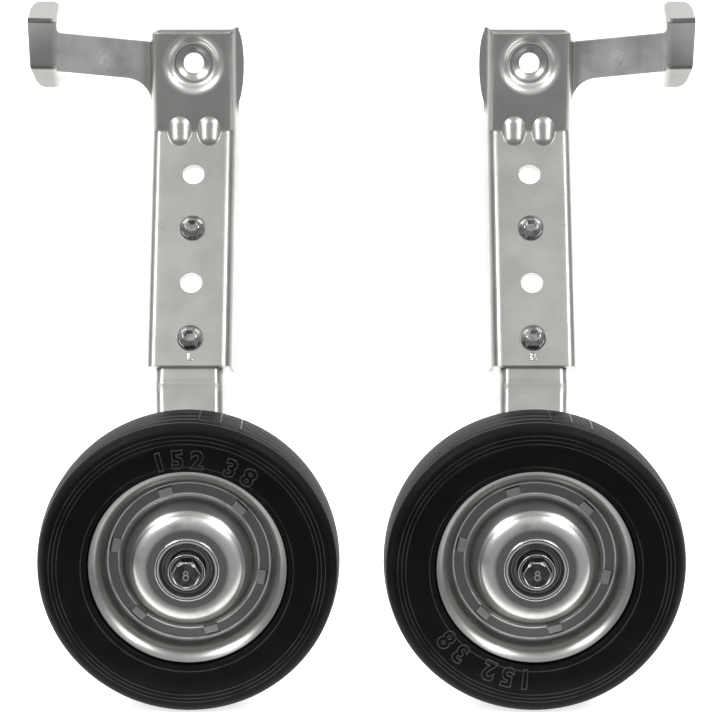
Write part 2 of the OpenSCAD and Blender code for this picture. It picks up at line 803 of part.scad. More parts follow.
left() bracket();  // left_bracket
left() leg();  // left_leg
left() leg_bolt(1);  // left_upper_bolt
left() leg_bolt(3);  // left_lower_bolt
left() leg_washer(1);  // left_upper_washer
left() leg_washer(3);  // left_lower_washer
left() leg_nut(1);  // left_upper_nut
left() leg_nut(3);  // left_lower_nut
left() axle_bolt();  // left_axle_bolt
left() outer_axle_washer();  // left_outer_axle_washer
left() axle_sleeve();  // left_axle_sleeve
left() inner_axle_washer();  // left_inner_axle_washer
left() axle_nut();  // left_axle_nut
left() outer_disc();  // left_outer_disc
left() inner_disc();  // left_inner_disc
left() hub_tube();  // left_hub_tube
left() outer_bush();  // left_outer_bush
left() inner_bush();  // left_inner_bush
left() tyre();  // left_tyre
right() bracket();  // right_bracket
right() leg();  // right_leg
right() leg_bolt(1);  // right_upper_bolt
right() leg_bolt(3);  // right_lower_bolt
right() leg_washer(1);  // right_upper_washer
right() leg_washer(3);  // right_lower_washer
right() leg_nut(1);  // right_upper_nut
right() leg_nut(3);  // right_lower_nut
right() axle_bolt();  // right_axle_bolt
right() outer_axle_washer();  // right_outer_axle_washer
right() axle_sleeve();  // right_axle_sleeve
right() inner_axle_washer();  // right_inner_axle_washer
right() axle_nut();  // right_axle_nut
right_wheel() outer_disc();  // right_outer_disc
right_wheel() inner_disc();  // right_inner_disc
right_wheel() hub_tube();  // right_hub_tube
right_wheel() outer_bush();  // right_outer_bush
right_wheel() inner_bush();  // right_inner_bush
right_wheel() tyre();  // right_tyre
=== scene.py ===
import bpy, bmesh, math
from mathutils import Matrix, Vector


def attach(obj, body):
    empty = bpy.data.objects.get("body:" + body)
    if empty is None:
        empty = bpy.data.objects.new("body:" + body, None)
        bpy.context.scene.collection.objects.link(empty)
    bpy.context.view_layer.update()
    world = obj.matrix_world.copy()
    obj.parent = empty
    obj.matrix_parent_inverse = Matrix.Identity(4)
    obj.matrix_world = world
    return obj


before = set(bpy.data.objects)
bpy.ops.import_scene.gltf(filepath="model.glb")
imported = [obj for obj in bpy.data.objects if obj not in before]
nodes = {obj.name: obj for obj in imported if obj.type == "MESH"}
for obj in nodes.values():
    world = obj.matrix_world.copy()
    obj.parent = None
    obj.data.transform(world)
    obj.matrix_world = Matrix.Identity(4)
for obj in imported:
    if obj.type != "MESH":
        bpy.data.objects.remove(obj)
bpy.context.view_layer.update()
print("frame loaded:", len(nodes), "nodes")

# measures that the CAD part fixes, in metres
unit = {
    "pair": 0.174,          # from axle hole to axle hole
    "wheelOut": 0.096,      # middle plane of a wheel in front of the frame ends
    "wheelDrop": 0.240,
    "bendTop": 0.03464,     # where the bracket's web starts to bend, below the axle hole
    "webFront": -0.0043,
    "creaseRadius": 0.003,
    "flare": math.radians(32),
    "tyreRadius": 0.076,
    "headFront": 0.0265,    # from a wheel's middle plane to just in front of its axle bolt's head
    "floor": -0.316,
}


def sidePoint(side, x, y, z):
    # a point of the left unit, mirrored for the right one
    return Vector((x if side == "left" else unit["pair"] - x, y, z))


def wheelCentre(side):
    return sidePoint(side, 0, -unit["wheelOut"], -unit["wheelDrop"])


def onLowerWeb(side, x, proud, along):
    # a point of the bracket's sloping lower web: proud of its face, and along it from the bend
    turn = Matrix.Rotation(-unit["flare"], 3, "X")
    p = turn @ Vector((x, unit["creaseRadius"] - proud, along))
    p += Vector((0, unit["webFront"] - unit["creaseRadius"], -unit["bendTop"]))
    return p if side == "left" else p + Vector((unit["pair"], 0, 0))


class Signal:
    # one output socket of a node tree, with Python's operators on it
    def __init__(self, finish, socket):
        self.finish = finish
        self.socket = socket

    def maths(self, operation, *others):
        values = dict(enumerate((self,) + others))
        return self.finish.make("Math", {"operation": operation}, values)

    def __add__(self, other):
        return self.maths("ADD", other)

    __radd__ = __add__

    def __mul__(self, other):
        return self.maths("MULTIPLY", other)

    __rmul__ = __mul__

    def __sub__(self, other):
        return self.maths("SUBTRACT", other)

    def __rsub__(self, other):
        return self.finish.make("Math", {"operation": "SUBTRACT"}, {0: other, 1: self})

    def __truediv__(self, other):
        return self.maths("DIVIDE", other)

    def clamped(self, low=0.0, high=1.0):
        return self.finish.make("Clamp", {}, {"Value": self, "Min": low, "Max": high})

    def between(self, low, high):
        # 0 below low, 1 above high, smooth from one to the other
        return self.finish.make("MapRange", {"interpolation_type": "SMOOTHSTEP"},
                                {"Value": self, "From Min": low, "From Max": high})

    def band(self, middle, half, soft):
        # 1 near the middle value and 0 away from it
        away = (self - middle).maths("ABSOLUTE")
        return 1 - away.between(half, half + soft)


def distance(a, b):
    return (a * a + b * b).maths("SQRT")


class Finish:
    # a material, or the studio's surroundings, and the one way its nodes are made
    def __init__(self, name, owner=None):
        self.material = owner or bpy.data.materials.new(name)
        self.material.use_nodes = True
        self.tree = self.material.node_tree
        self.tree.nodes.clear()

    def make(self, kind, settings=None, values=None, output=0):
        node = self.tree.nodes.new("ShaderNode" + kind)
        for key, value in (settings or {}).items():
            if key == "stops":
                ramp = node.color_ramp
                while len(ramp.elements) < len(value):
                    ramp.elements.new(0.5)
                for element, (place, colour) in zip(ramp.elements, value):
                    element.position = place
                    element.color = (*colour, 1)
            else:
                setattr(node, key, value)
        for key, value in (values or {}).items():
            socket = node.inputs[key]
            if isinstance(value, Signal):
                self.tree.links.new(value.socket, socket)
            elif hasattr(socket.default_value, "__len__") and len(socket.default_value) == 4:
                socket.default_value = (*value, 1)
            else:
                socket.default_value = value
        return Signal(self, node.outputs[output]) if node.outputs else None

    def place(self, kind="Object"):
        return self.make("TexCoord", output=kind)

    def parts(self, vector):
        outs = self.make("SeparateXYZ", {}, {0: vector}).socket.node.outputs
        return [Signal(self, outs[i]) for i in range(3)]

    def joined(self, x, y, z):
        return self.make("CombineXYZ", {}, {0: x, 1: y, 2: z})

    def scaled(self, vector, factors):
        return self.make("VectorMath", {"operation": "MULTIPLY"}, {0: vector, 1: factors})

    def moved(self, vector, offset):
        return self.make("VectorMath", {"operation": "SUBTRACT"}, {0: vector, 1: offset})

    def length(self, vector):
        return self.make("VectorMath", {"operation": "LENGTH"}, {0: vector}, "Value")

    def noise(self, vector, scale, detail=3.0, roughness=0.55):
        return self.make("TexNoise", {}, {"Vector": vector, "Scale": scale, "Detail": detail,
                                          "Roughness": roughness})

    def mixed(self, factor, a, b):
        mix = self.make("Mix", {"data_type": "RGBA"}, {0: factor}).socket.node
        for socket, value in ((mix.inputs[6], a), (mix.inputs[7], b)):
            if isinstance(value, Signal):
                self.tree.links.new(value.socket, socket)
            else:
                socket.default_value = (*value, 1)
        return Signal(self, mix.outputs[2])

    def bump(self, height, distance, strength=1.0, under=None):
        values = {"Height": height, "Distance": distance, "Strength": strength}
        if under is not None:
            values["Normal"] = under
        return self.make("Bump", {}, values)

    def roundedEdges(self, radius):
        return self.make("Bevel", {"samples": 6}, {"Radius": radius})

    def finishWith(self, **sockets):
        names = {key.replace("_", " "): value for key, value in sockets.items()}
        self.make("OutputMaterial", {}, {"Surface": self.make("BsdfPrincipled", {}, names)})
        return self.material


def wheelPolar(finish, side):
    # place seen from the wheel's centre, distance from its axle, angle round it, depth along it
    local = finish.moved(finish.place(), tuple(wheelCentre(side)))
    x, y, z = finish.parts(local)
    radius = distance(x, z)
    angle = finish.make("Math", {"operation": "ARCTAN2"}, {0: z, 1: x})
    return local, radius, angle, y


plating = {  # the bracket's and the leg's; places are those of the left unit, in metres
    "dark": (0.47, 0.47, 0.455), "light": (0.56, 0.56, 0.54), "scuff": (0.28, 0.28, 0.27),
    # the ear's grey is painted shade in the deep ear
    "arm": (0.78, 0.78, 0.76), "armDark": (0.50, 0.50, 0.485), "ear": (0.13, 0.13, 0.125),
    # the clip's two greys are painted light and painted shade, and the crease grey is painted shade in its
    # creases
    "clip": (0.60, 0.60, 0.585), "clipShade": (0.34, 0.34, 0.33), "crease": (0.11, 0.11, 0.105),
    # painted light for the hollow round the axle hole, and a painted highlight and a painted shade line at
    # its seat's rim
    "hollow": (0.74, 0.74, 0.72), "seatHighlight": (0.95, 0.95, 0.93), "seatShadeLine": (0.22, 0.22, 0.215),
    "rough": 0.30, "roughSpread": 0.09, "edge": 0.0006,
    # rubbed spots on the arm, the lower ear and beside two of the adjusting holes: place and size
    "spots": (((-0.047, 0.008, 0.001), 0.0075), ((-0.017, -0.033, -0.079), 0.003),
              ((0.0155, -0.060, -0.118), 0.003), ((-0.078, 0.014, -0.010), 0.004)),
    "ragged": 0.008,
    # zones fade in between two places across the unit, negative on the arm's side, or in height
    "armZone": (-0.0290, -0.0250), "clipZone": (-0.0760, -0.0700),
    "earZone": (0.0205, 0.0222), "earTop": (-0.028, -0.020),
    # the clip's painted shade lightens by this much for each metre up and outward, with some cloud
    "clipUp": 60, "clipOutward": 40, "clipMiddle": -0.08, "clipCloud": 1.5, "clipFade": (0.7, 1.9),
    "creases": ((0.0207, 0.0010, 0.0005), (-0.0038, 0.0007, 0.0005)),   # height, half width, fade
    "hollowRing": (0.0130, 0.0016, 0.0024),                             # distance, half width, fade
    # the seat rim's painted highlight and painted shade lines: distance, half width, fade
    "highlightRing": (0.0103, 0.0001, 0.0003), "shadeRing": (0.0097, 0.0001, 0.0003),
    # reliefs round the axle hole that the shading eases: from, to and depth
    "dish": ((0.0102, 0.0138, 0.0013), (0.0052, 0.0098, 0.0009)),
    # the side bends: where they start on the inner and the outer side, radius, how much of it counts
    "bendFrom": (0.0148, 0.0160), "legFrom": (0.0112, 0.0125),
    "bendRadius": 0.0084, "bendShare": 0.90, "outerBend": 0.22,
    "topLip": 0.0147, "lipDepth": 0.004, "lipEnd": (-0.0240, -0.0215), "lipWave": 0.0014, "lipSlope": 0.6,
    "legBend": -0.1525, "legReach": 0.03, "legSoft": 0.002, "legEase": 0.62,
    "facing": (-0.45, -0.15),           # Y of the normal of a face that counts as turned to the front
}


def wornSpots(f, p, side, mottle):
    worn = None
    for place, size in plating["spots"]:
        away = f.length(f.moved(p, tuple(sidePoint(side, *place)))) + (mottle - 0.5) * plating["ragged"]
        mark = 1 - away.between(size * 0.4, size)
        worn = mark if worn is None else worn.maths("MAXIMUM", mark)
    return worn * f.noise(p, 700, 3).between(0.30, 0.62)


def armTones(f, colour, rough, across, z, mottle, cloud):
    # the arm is rubbed lighter
    rub = (mottle * 0.45 + cloud * 0.55).between(0.36, 0.60)
    onArm = 1 - across.between(*plating["armZone"])
    colour = f.mixed(onArm, colour, f.mixed(rub, plating["armDark"], plating["arm"]))
    # the clip is painted with shade low down and lighter up and outward, and its two creases are painted dark
    # as painted shade
    onClip = 1 - across.between(*plating["clipZone"])
    shade = z * plating["clipUp"] - (across - plating["clipMiddle"]) * plating["clipOutward"]
    shade = (shade + cloud * plating["clipCloud"]).between(*plating["clipFade"])
    colour = f.mixed(onClip, colour, f.mixed(shade, plating["clipShade"], plating["clip"]))
    # painted shade in the two creases, which are also rougher
    upper, lower = [z.band(*crease) for crease in plating["creases"]]
    creases = (upper + lower).clamped() * onClip
    colour = f.mixed(creases, colour, plating["crease"])
    # the deep ear on the inner side is rougher, and painted dark as painted shade
    ear = across.between(*plating["earZone"]) * z.between(*plating["earTop"])
    colour = f.mixed(ear, colour, plating["ear"])
    return colour, rough + creases * 0.2 + onArm * 0.08 + ear * 0.35


def sideBends(across, starts):
    # height that eases the sheet into its two side bends
    radius = plating["bendRadius"]
    inner = (across - starts[0]).clamped(0, radius * plating["bendShare"])
    outer = (across * -1 - starts[1]).clamped(0, radius * plating["bendShare"])
    eased = (radius ** 2 - inner * inner).maths("SQRT")
    return eased + (radius ** 2 - outer * outer).maths("SQRT") * plating["outerBend"]


def platedSteel(name, side, withArm):
    f = Finish(name)
    p = f.place()
    x, y, z = f.parts(p)
    across = x if side == "left" else unit["pair"] - x
    mottle = f.noise(p, 70, 4)
    cloud = f.noise(f.moved(p, (3, 1, 2)), 20, 2)
    grain = f.noise(p, 1500, 2)
    tone = (mottle * 0.5 + cloud * 0.5).between(0.34, 0.66)
    colour = f.mixed(tone, plating["dark"], plating["light"])
    rough = plating["rough"] + (mottle * 0.6 + grain * 0.4 - 0.5) * plating["roughSpread"]
    eased = sideBends(across, plating["bendFrom" if withArm else "legFrom"])
    if withArm:
        worn = wornSpots(f, p, side, mottle)
        colour = f.mixed(worn * 0.6, colour, plating["scuff"])
        colour, rough = armTones(f, colour, rough + worn * 0.12, across, z, mottle, cloud)
        # the hollow round the axle hole is painted lighter, as painted light on its lit slopes, and its
        # seat's rim gets a painted highlight line beside a painted shade line
        fromHole = distance(across, z)
        colour = f.mixed(fromHole.band(*plating["hollowRing"]), colour, plating["hollow"])
        colour = f.mixed(fromHole.band(*plating["highlightRing"]), colour, plating["seatHighlight"])
        colour = f.mixed(fromHole.band(*plating["shadeRing"]), colour, plating["seatShadeLine"])
        # the hollow, its countersink, and the lip along the top edge
        for low, high, deep in plating["dish"]:
            eased = eased + fromHole.between(low, high) * deep
        wave = f.noise(f.scaled(p, (1, 0, 0)), 90, 1) * plating["lipWave"]
        past = (z - wave - plating["topLip"]).clamped(0, plating["lipDepth"])
        eased = eased - past * across.between(*plating["lipEnd"]) * plating["lipSlope"]
    else:
        # the leg's bend is a long one
        below = (plating["legBend"] - z).clamped(0, plating["legReach"])
        eased = eased + below * below / (below + plating["legSoft"]) * plating["legEase"]
    # only the faces turned to the front are eased
    plain = f.roundedEdges(plating["edge"])
    ahead = f.parts(f.make("NewGeometry", output="Normal"))[1]
    normal = f.mixed(1 - ahead.between(*plating["facing"]), plain, f.bump(eased, 1.0, 1.0, plain))
    # the sheet isn't quite flat, and has a fine grain and upright scratches
    normal = f.bump(f.noise(p, 45, 1), 0.0010, 0.14, normal)
    scratch = f.noise(f.scaled(p, (60, 60, 2000)), 1, 2).between(0.62, 0.72)
    scratch = scratch * f.noise(p, 40).between(0.54, 0.66)
    height = grain * 0.35 + mottle * 0.6 - scratch * 0.5
    normal = f.bump(height, 0.00006, 0.14, normal)
    return f.finishWith(Base_Color=colour, Metallic=1.0, Roughness=rough, Normal=normal)


disc = {  # distances from the axle, in metres
    "dark": (0.38, 0.38, 0.37), "light": (0.50, 0.50, 0.485), "rough": 0.30, "edge": 0.0004,
    # the face grey is painted reflection, dark, on the flat face round the hub; the crown grey is painted
    # highlight on the dome outside it
    "face": (0.22, 0.22, 0.215), "faceEnd": (0.0195, 0.0212),
    "crown": (0.80, 0.80, 0.78), "crownHighlightRing": (0.0243, 0.0018, 0.0030),
    "wall": (0.0276, 0.0326), "wallEase": 0.0026,
    # the floor grey is painted reflection on the valley's floor, and the line grey below is painted highlight
    # at its two folds
    "floor": (0.17, 0.17, 0.165), "valley": (0.0353, 0.0408), "valleyFade": 0.0006,
    "floorDepth": (0.0012, 0.0018),     # how far from the wheel's middle plane the floor counts
    "line": (0.95, 0.95, 0.94),
}


def spunSteel(name, side):
    f = Finish(name)
    local, radius, angle, y = wheelPolar(f, side)
    rings = f.noise(f.joined(radius * 1300, y * 500, angle * 0.6), 1, 3, 0.6)
    broad = f.noise(f.joined(radius * 160, y * 160, angle * 0.8), 1, 2)
    cloud = f.noise(local, 50, 3)
    tone = (rings * 0.35 + broad * 0.30 + cloud * 0.35).between(0.32, 0.68)
    colour = f.mixed(tone, disc["dark"], disc["light"])
    rough = disc["rough"] + (cloud * 0.6 + rings * 0.4 - 0.5) * 0.12
    # the flat face round the hub is painted dark, as painted reflection of the dark front, and the crown
    # outside it gets a painted highlight
    colour = f.mixed((1 - radius.between(*disc["faceEnd"])) * 0.85, colour, disc["face"])
    crown = radius.band(*disc["crownHighlightRing"]) * cloud.between(0.2, 0.5)
    colour = f.mixed(crown, colour, disc["crown"])
    # the valley's floor is painted dark, as painted reflection, between two painted highlight lines at its
    # folds
    low, high = disc["valley"]
    fade = disc["valleyFade"]
    floor = radius.between(low, low + fade) * (1 - radius.between(high - fade, high))
    floor = floor * (1 - y.maths("ABSOLUTE").between(*disc["floorDepth"]))
    colour = f.mixed(floor * (0.75 + rings * 0.2), colour, disc["floor"])
    foldHighlights = radius.band(low, 0.00012, 0.0003) + radius.band(high, 0.00012, 0.0003)
    colour = f.mixed(foldHighlights * cloud.between(0.30, 0.55), colour, disc["line"])
    # the dome's wall is softened
    eased = radius.between(*disc["wall"])
    normal = f.bump(eased, disc["wallEase"], 1.0, f.roundedEdges(disc["edge"]))
    height = rings * 0.6 + f.noise(local, 1500, 2) * 0.25
    normal = f.bump(height, 0.00005, 0.12, normal)
    return f.finishWith(Base_Color=colour, Metallic=1.0, Roughness=rough, Normal=normal)


# rings are painted lines round the axle, bright ones painted highlight and dark ones painted shade: radius,
# half width and grey
fastener = {"dark": 0.28, "light": 0.50, "rough": 0.03, "edge": 0.0003}
boltHead = {
    "dark": 0.08, "light": 0.16, "rough": 0.03, "edge": 0.0006,
    "face": (0.0007, 0.0010),                           # its front ends this far from the given centre
    "flat": 0.00645, "chamfer": 0.0058, "fall": -0.7,   # half of the hexagon, its chamfer and slope
    "mark": ((0.0011, 0.0010), (-0.0012, 0.0013)),      # height and radius of the mark's two rings
    # the line and the grey after it are painted highlights on the outline and on the mark
    "line": (0.98, 0.98, 0.98), "markGlint": (0.80, 0.80, 0.80),
}
washer = {
    "dark": 0.07, "light": 0.14, "rough": 0.05, "edge": 0.0004,
    "rings": ((0.0090, 0.00012, 0.95), (0.0080, 0.00010, 0.6)),
}
hubRing = {
    "dark": 0.66, "light": 0.90, "rough": 0.16, "edge": 0.0003,
    "rings": ((0.0160, 0.00015, 0.98), (0.0153, 0.00015, 0.15),
              (0.0146, 0.00018, 0.98), (0.0138, 0.0002, 0.15)),
}


def brightSteel(name, recipe, centre=None):
    f = Finish(name)
    p = f.place()
    stain = f.noise(p, 260, 3)
    pits = f.noise(p, 2400, 2).between(0.62, 0.75)
    colour = f.mixed(stain.between(0.35, 0.65), (recipe["dark"],) * 3, (recipe["light"],) * 3)
    rough = recipe["rough"] + stain * 0.05 + pits * 0.12
    height = stain * 0.3 - pits * 0.3
    normal = f.roundedEdges(recipe["edge"])
    if centre is not None:
        x, y, z = f.parts(f.moved(p, tuple(centre)))
        reach = distance(x, z)
        # painted highlight and painted shade rings
        for radius, half, grey in recipe.get("rings", ()):
            colour = f.mixed(reach.band(radius, half, 0.0002), colour, (grey,) * 3)
    if "chamfer" in recipe:
        # a painted highlight along the hexagon's outline, a chamfer round it, and two stacked rings pressed
        # up on its face, with painted glints
        face = 1 - y.maths("ABSOLUTE").between(*recipe["face"])
        across = z.maths("ABSOLUTE")
        for sine in (0.5, -0.5):
            across = across.maths("MAXIMUM", (x * 0.866 + z * sine).maths("ABSOLUTE"))
        outline = across.band(recipe["flat"], 0.00018, 0.0002) * face
        colour = f.mixed(outline, colour, recipe["line"])
        fall = (reach - recipe["chamfer"]).clamped(0, 0.002) * recipe["fall"]
        normal = f.bump(fall * face, 1.0, 1.0, normal)
        mark = 0
        for lift, size in recipe["mark"]:
            mark = distance(x, z - lift).band(size, 0.00022, 0.00022) + mark
        mark = mark.clamped() * face
        colour = f.mixed(mark * 0.8, colour, recipe["markGlint"])
        height = height * 0.05 + mark * 1.5
    normal = f.bump(height, 0.00006, 0.5, normal)
    return f.finishWith(Base_Color=colour, Metallic=1.0, Roughness=rough, Normal=normal)


bush = {
    "dark": (0.006, 0.006, 0.007), "light": (0.014, 0.014, 0.015), "edge": 0.0004,
    # the line grey and its rings are painted reflections in the recess
    "line": (0.30, 0.30, 0.30), "rings": (0.0101, 0.0109, 0.0122),
}


def darkPlastic(name, centre):
    f = Finish(name)
    p = f.place()
    flow = f.noise(p, 120, 3)
    colour = f.mixed(flow, bush["dark"], bush["light"])
    # painted reflections: light rings round the axle
    x, y, z = f.parts(f.moved(p, tuple(centre)))
    reach = distance(x, z)
    for radius in bush["rings"]:
        colour = f.mixed(reach.band(radius, 0.00012, 0.0002) * flow, colour, bush["line"])
    rough = 0.08 + flow * 0.12
    normal = f.bump(f.noise(p, 900, 2), 0.00008, 0.15, f.roundedEdges(bush["edge"]))
    return f.finishWith(Base_Color=colour, Roughness=rough, Normal=normal, Coat_Weight=0.6,
                        Specular_IOR_Level=0.8)


rubber = {  # distances from the axle and, for the tread's edges, from the middle plane
    "side": (0.0025, 0.0025, 0.0023), "tread": (0.010, 0.0095, 0.009), "rough": 0.42,
    # the edge grey is painted highlight along the grooves' edges
    "line": (0.035, 0.035, 0.033), "edge": (0.10, 0.10, 0.095),
    "treadStart": (0.0705, 0.0745),
    "treadEdges": (0.0034, 0.0046, 0.0084, 0.0096, 0.0135),
    "sideEdges": (0.0650, 0.0670, 0.0690, 0.0531),
}


def tyreRubber(name, side):
    f = Finish(name)
    local, radius, angle, y = wheelPolar(f, side)
    tread = radius.between(*rubber["treadStart"])
    dust = f.noise(local, 60, 4)
    speck = f.noise(local, 1600, 2)
    tone = (tread * 0.8 + dust.between(0.45, 0.75) * 0.35).clamped()
    colour = f.mixed(tone, rubber["side"], rubber["tread"])
    # the grooves' edges on the tread and the sidewall get painted highlight lines
    edges = 0
    for edge in rubber["treadEdges"]:
        edges = y.maths("ABSOLUTE").band(edge, 0.0001, 0.00035) * tread + edges
    for ring in rubber["sideEdges"]:
        edges = radius.band(ring, 0.0001, 0.0003) * 0.45 + edges
    colour = f.mixed(edges.clamped() * dust.between(0.2, 0.55), colour, rubber["edge"])
    rough = rubber["rough"] + tread * 0.10 + (dust - 0.5) * 0.14
    turned = f.noise(f.joined(radius * 2200, y * 900, angle * 0.5), 1, 2)
    height = turned * 0.25 + speck * 0.35
    normal = f.bump(height, 0.00010, 0.35)
    return f.finishWith(Base_Color=colour, Roughness=rough, Normal=normal, Specular_IOR_Level=0.13)


def mouldedRubber(name):
    # the raised lines, which handling has polished, with a lighter colour that is painted highlight
    f = Finish(name)
    p = f.place()
    worn = f.noise(p, 400, 3)
    colour = f.mixed(worn, rubber["side"], rubber["line"])
    normal = f.bump(f.noise(p, 1800, 2), 0.00005, 0.3)
    return f.finishWith(Base_Color=colour, Roughness=0.22 + worn * 0.15, Normal=normal,
                        Specular_IOR_Level=0.8)


def makeSoftShade(angle):
    # smooth shading with crisp folds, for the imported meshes, whose corners come split
    group = bpy.data.node_groups.new("softShade", "GeometryNodeTree")
    group.interface.new_socket("Geometry", in_out="INPUT", socket_type="NodeSocketGeometry")
    group.interface.new_socket("Geometry", in_out="OUTPUT", socket_type="NodeSocketGeometry")
    add = group.nodes.new
    start, end = add("NodeGroupInput"), add("NodeGroupOutput")
    merge, smooth = add("GeometryNodeMergeByDistance"), add("GeometryNodeSetShadeSmooth")
    crisp, edge = add("GeometryNodeSetShadeSmooth"), add("GeometryNodeInputMeshEdgeAngle")
    limit = add("FunctionNodeCompare")
    merge.inputs["Distance"].default_value = 0.000002
    smooth.domain, crisp.domain = "FACE", "EDGE"
    crisp.inputs["Shade Smooth"].default_value = False
    limit.data_type, limit.operation = "FLOAT", "GREATER_THAN"
    limit.inputs[1].default_value = angle
    link = group.links.new
    link(start.outputs[0], merge.inputs["Geometry"])
    link(merge.outputs[0], smooth.inputs["Geometry"])
    link(smooth.outputs[0], crisp.inputs["Geometry"])
    link(edge.outputs["Unsigned Angle"], limit.inputs[0])
    link(limit.outputs[0], crisp.inputs["Selection"])
    link(crisp.outputs[0], end.inputs[0])
    return group


softShade = makeSoftShade(math.radians(24))


def dress(name, material):
    node = nodes[name]
    node.data.materials.clear()
    node.data.materials.append(material)
    shade = node.modifiers.new("softShade", "NODES")
    shade.node_group = softShade
    weigh = node.modifiers.new("weigh", "WEIGHTED_NORMAL")
    weigh.weight, weigh.keep_sharp = 100, True


def addPiece(name, mesh, material, body):
    piece = bpy.data.objects.new(name, mesh)
    bpy.context.scene.collection.objects.link(piece)
    mesh.materials.clear()
    mesh.materials.append(material)
    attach(piece, body)


fastenerFinish = brightSteel("brightFastener", fastener)
stampFinish = brightSteel("rubbedStamp", hubRing)
lineFinish = mouldedRubber("mouldedLine")
for side in ("left", "right"):
    discFinish = spunSteel(side + "Spun", side)
    centre = wheelCentre(side)
    headFace = centre - Vector((0, unit["headFront"], 0))
    plasticFinish = darkPlastic(side + "Nylon", centre)
    dress(side + "_bracket", platedSteel(side + "Plating", side, True))
    dress(side + "_leg", platedSteel(side + "LegPlating", side, False))
    dress(side + "_outer_disc", discFinish)
    dress(side + "_inner_disc", discFinish)
    dress(side + "_tyre", tyreRubber(side + "Rubber", side))
    dress(side + "_axle_bolt", brightSteel(side + "BoltHead", boltHead, headFace))
    dress(side + "_outer_axle_washer", brightSteel(side + "Washer", washer, centre))
    dress(side + "_hub_tube", brightSteel(side + "HubRing", hubRing, centre))
    dress(side + "_outer_bush", plasticFinish)
    dress(side + "_inner_bush", plasticFinish)
    for part in ("upper_bolt", "lower_bolt", "upper_washer", "lower_washer", "upper_nut", "lower_nut",
                 "axle_sleeve", "inner_axle_washer", "axle_nut"):
        dress(side + "_" + part, fastenerFinish)
print("finishes on", len(nodes), "nodes")


def outlineGlyph(text, height, line, fat):
    # raised outline of one character, as mesh, centred on its own middle and lying in x and y
    curve = bpy.data.curves.new("glyph", "FONT")
    curve.body, curve.size = text, height / 0.69       # a numeral is about 0.69 of the size high
    curve.align_x, curve.align_y = "CENTER", "CENTER"
    curve.offset, curve.bevel_depth, curve.bevel_resolution = fat, line, 1
    curve.resolution_u = 4
    curve.fill_mode = "NONE"
    holder = bpy.data.objects.new("glyph", curve)
    bpy.context.scene.collection.objects.link(holder)
    bpy.context.view_layer.update()
    mesh = bpy.data.meshes.new_from_object(holder.evaluated_get(bpy.context.evaluated_depsgraph_get()))
    bpy.data.objects.remove(holder)
    bpy.data.curves.remove(curve)
    xs, ys = [v.co.x for v in mesh.vertices], [v.co.y for v in mesh.vertices]
    middle = Vector(((min(xs) + max(xs)) / 2, (min(ys) + max(ys)) / 2, 0))
    work = bmesh.new()
    work.from_mesh(mesh)
    bmesh.ops.translate(work, vec=-middle, verts=work.verts)
    # long strokes are halved, three times at most, so that they can follow a bulged wall
    for halving in range(3):
        long = [e for e in work.edges if e.calc_length() > height / 9]
        if long:
            bmesh.ops.subdivide_edges(work, edges=long, cuts=1)
    work.to_mesh(mesh)
    work.free()
    return mesh


def joinMeshes(name, meshes):
    work = bmesh.new()
    for mesh in meshes:
        work.from_mesh(mesh)
        bpy.data.meshes.remove(mesh)
    whole = bpy.data.meshes.new(name)
    work.to_mesh(whole)
    work.free()
    for face in whole.polygons:
        face.use_smooth = True
    return whole


sidewall = {  # the moulded size numbers: radius of their middle, height, line and place in degrees
    "radius": 0.0572, "height": 0.0088, "line": 0.00032, "fat": 0.0005,
    "left": (("1", 103), ("5", 94), ("2", 84), ("3", 67), ("8", 57)),
    "right": (("1", 265), ("5", 256), ("2", 246), ("3", 229), ("8", 219)),
    # the wall bulges as an arc: its radius, where it stands highest, how deep its centre lies
    "bulge": 0.030, "highest": 0.062, "sunk": 0.011,
}


def sideHeight(radius):
    # the tyre's bulged sidewall over its middle plane
    away = radius - sidewall["highest"]
    return -sidewall["sunk"] + math.sqrt(sidewall["bulge"] ** 2 - away ** 2)


def makeTyreNumbers(side):
    centre, glyphs = wheelCentre(side), []
    for text, degrees in sidewall[side]:
        mesh = outlineGlyph(text, sidewall["height"], sidewall["line"], sidewall["fat"])
        for v in mesh.vertices:
            radius = sidewall["radius"] + v.co.y
            angle = math.radians(degrees) - v.co.x / sidewall["radius"]
            depth = -sideHeight(radius) - v.co.z
            v.co = centre + Vector((radius * math.cos(angle), depth, radius * math.sin(angle)))
        glyphs.append(mesh)
    name = side + "_tyre_numbers"
    addPiece(name, joinMeshes(name, glyphs), lineFinish, side + "_wheel")


stamp = {"height": 0.0038, "line": 0.00020, "fat": 0.0001, "along": -0.1231, "x": 0.0003}


def makeStamp(side):
    mesh = outlineGlyph("L" if side == "left" else "R", stamp["height"], stamp["line"], stamp["fat"])
    for v in mesh.vertices:
        v.co = onLowerWeb(side, stamp["x"] + v.co.x, v.co.z, stamp["along"] + v.co.y)
    addPiece(side + "_stamp", joinMeshes(side + "_stamp", [mesh]), stampFinish, "frame")


treadLine = {
    "angles": (85, 77, 69), "from": -0.0105, "to": 0.0105, "steps": 12, "half": 0.00032,
    "crown": 0.090,         # radius of the tread's own crown
    # section, from one foot over the top to the other: across in half widths, height in metres
    "section": ((-1.6, -0.0003), (-0.8, 0.00028), (0, 0.00035), (0.8, 0.00028), (1.6, -0.0003)),
}


